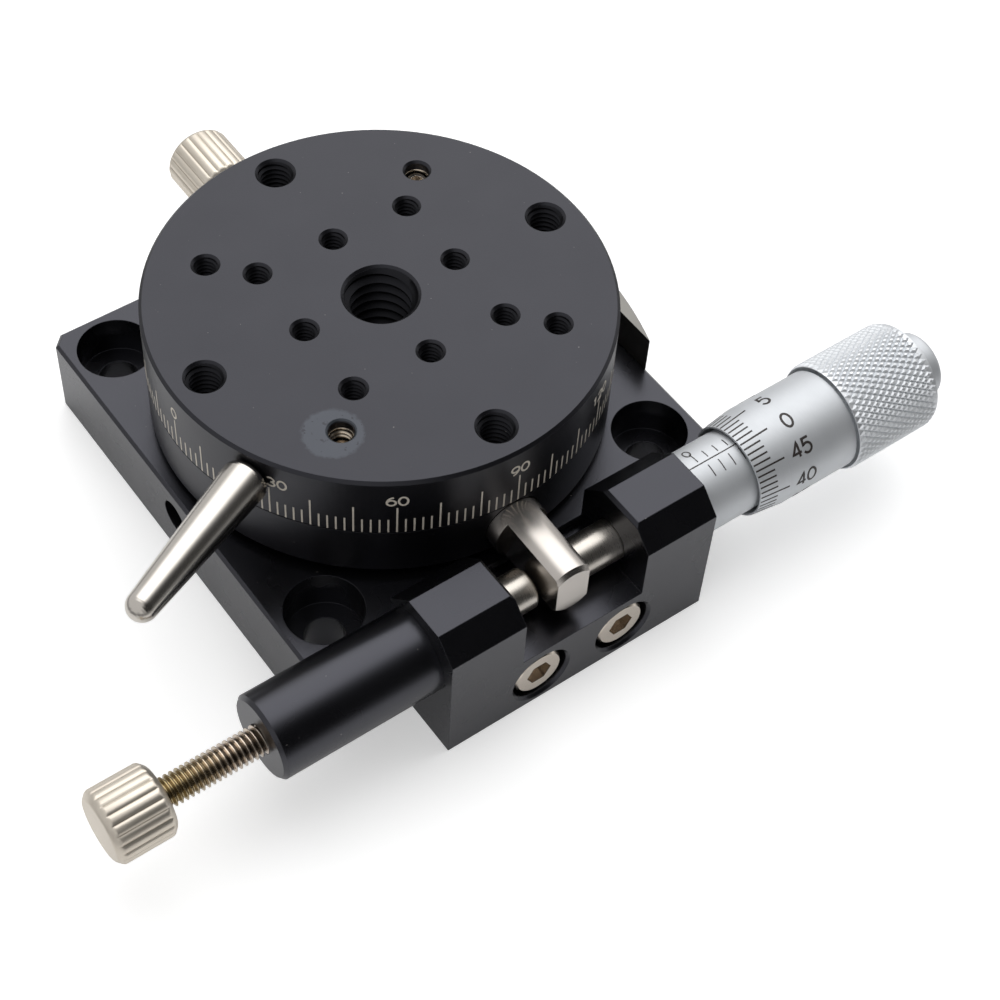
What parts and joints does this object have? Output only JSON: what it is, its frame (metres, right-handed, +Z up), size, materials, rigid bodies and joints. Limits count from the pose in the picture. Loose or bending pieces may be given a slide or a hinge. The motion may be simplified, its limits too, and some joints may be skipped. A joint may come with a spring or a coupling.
{
  "type": "rotation stage",
  "caption": "Manual rotation stage: a square base carries a graduated round table on a ball bearing, with a clamp and a tangent-arm micrometer fine drive.",
  "frame": {"origin": "on the table's rotation axis, in the plane of the base's underside", "axes": "+Z up along the rotation axis, +X along the micrometer towards its thimble, the drive block on the -Y side"},
  "size_m": [0.0789, 0.058, 0.0192],
  "materials": {
    "black_anodised": "matte black anodised aluminium",
    "race_steel": "ground bearing steel",
    "screw_steel": "plain stainless steel",
    "plate_steel": "milled stainless steel, bare",
    "satin_chrome": "satin chrome plate",
    "bronze": "machined bronze",
    "tube_anodised": "black anodised aluminium, satin",
    "spring_steel": "drawn spring wire",
    "turned_steel": "turned and milled stainless steel",
    "soft_pad": "plain nylon"
  },
  "bodies": {
    "base": {"base_plate": "black_anodised", "outer_race": "race_steel", "race_retainer": "black_anodised", "race_set_screw": "screw_steel", "index_plate": "plate_steel", "index_screws": "screw_steel", "drive_block": "black_anodised", "block_screws": "screw_steel", "micrometer_sleeve": "satin_chrome", "spindle_nut": "bronze", "plunger_tube": "tube_anodised", "plunger_spring": "spring_steel"},
    "bearing_cage": {"bearing_balls": "race_steel", "ball_cage": "bronze"},
    "ring": {"swing_ring": "black_anodised", "tangent_arm": "turned_steel", "inner_race": "race_steel", "preload_nut": "screw_steel", "thrust_washer": "bronze"},
    "table": {"dial_table": "black_anodised", "handle_lever": "turned_steel", "table_set_screws": "screw_steel", "stub_circlip": "spring_steel"},
    "clamp_tip": {"clamp_pad": "soft_pad"},
    "clamp": {"clamp_screw": "turned_steel"},
    "micrometer_tip": {"spindle_tip": "race_steel"},
    "micrometer_thimble": {"spindle": "race_steel", "thimble": "satin_chrome", "thimble_grip": "satin_chrome", "thimble_cap": "satin_chrome"},
    "plunger": {"plunger_pin": "turned_steel"},
    "lock_tip": {"lock_pad": "soft_pad"},
    "lock": {"lock_screw": "turned_steel"}
  },
  "joints": [
    {"name": "micrometer_travel", "type": "slide", "parent": "base", "child": "micrometer_tip", "axis": [1, 0, 0], "range_m": [-0.0029, 0.003]},
    {"name": "thimble_spin", "type": "hinge", "parent": "micrometer_tip", "child": "micrometer_thimble", "pos_m": [0.02, -0.02365, 0.00875], "axis": [1, 0, 0], "range_deg": [-2100, 2175]},
    {"name": "ring_swing", "type": "hinge", "parent": "base", "child": "ring", "pos_m": [0, 0, 0], "axis": [0, 0, 1], "range_deg": [-7.2, 7.4]},
    {"name": "cage_turn", "type": "hinge", "parent": "base", "child": "bearing_cage", "pos_m": [0, 0, 0], "axis": [0, 0, 1], "range_deg": [-3.5, 3.4]},
    {"name": "plunger_travel", "type": "slide", "parent": "base", "child": "plunger", "axis": [1, 0, 0], "range_m": [-0.0029, 0.003], "deforming": ["plunger_spring"]},
    {"name": "table_turn", "type": "hinge", "parent": "ring", "child": "table", "pos_m": [0, 0, 0], "axis": [0, 0, 1], "continuous": true},
    {"name": "clamp_travel", "type": "slide", "parent": "ring", "child": "clamp_tip", "axis": [-0.0052, -1, 0], "range_m": [-0.0015, 0.0001]},
    {"name": "clamp_spin", "type": "hinge", "parent": "clamp_tip", "child": "clamp", "pos_m": [0.0001, 0.02, 0.01057], "axis": [-0.0052, -1, 0], "range_deg": [-1090, 80]},
    {"name": "lock_travel", "type": "slide", "parent": "base", "child": "lock_tip", "axis": [1, 0, 0], "range_m": [-0.003, 0.0005]},
    {"name": "lock_spin", "type": "hinge", "parent": "lock_tip", "child": "lock", "pos_m": [-0.03, -0.02365, 0.00875], "axis": [1, 0, 0], "range_deg": [-2170, 370]}
  ],
  "couplings": [
    {"joint": "thimble_spin", "follows": "micrometer_travel", "rad_per_m": 12566},
    {"joint": "ring_swing", "follows": "micrometer_travel", "rad_per_m": 42.283},
    {"joint": "cage_turn", "follows": "micrometer_travel", "rad_per_m": 19.147},
    {"joint": "plunger_travel", "follows": "micrometer_travel", "ratio": 1},
    {"joint": "clamp_spin", "follows": "clamp_travel", "rad_per_m": 12566},
    {"joint": "lock_spin", "follows": "lock_travel", "rad_per_m": 12566}
  ]
}
